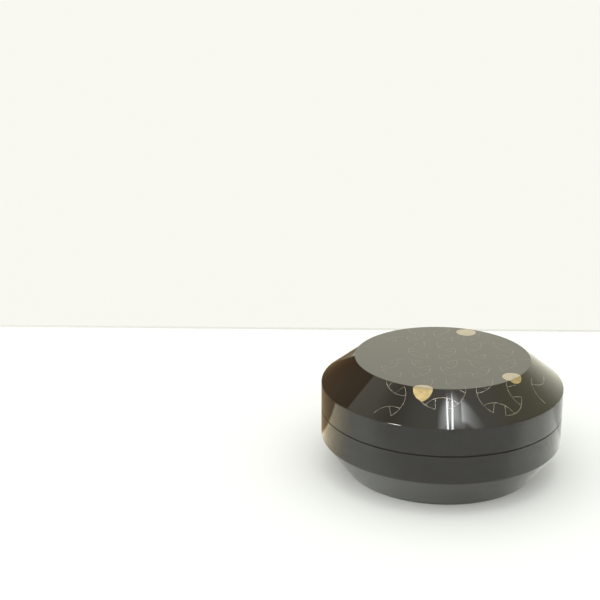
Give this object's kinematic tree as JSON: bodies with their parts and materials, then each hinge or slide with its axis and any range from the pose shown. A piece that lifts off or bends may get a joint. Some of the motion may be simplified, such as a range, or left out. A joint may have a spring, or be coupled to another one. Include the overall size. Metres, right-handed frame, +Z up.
{
  "type": "lidded sweets box",
  "caption": "Round shallow sweets box with a lift-off lid: flat top, sloping shoulder, upright belt and a foot that tapers in, in polished black lacquer.",
  "frame": {"origin": "centre of the foot, on the surface that the box stands on", "axes": "+Z up along the turning axis; the box is round, and +Y is away from the side that faces the viewer"},
  "size_m": [0.212, 0.212, 0.102],
  "materials": {
    "black_lacquer": "turned wood under black lacquer, polished to a mirror gloss",
    "gold_powder": "gold powder sprinkled in lacquer and polished flush, softly metallic with a fine grain"
  },
  "bodies": {
    "root": {"box_body": "black_lacquer", "lid": "black_lacquer"}
  },
  "joints": []
}
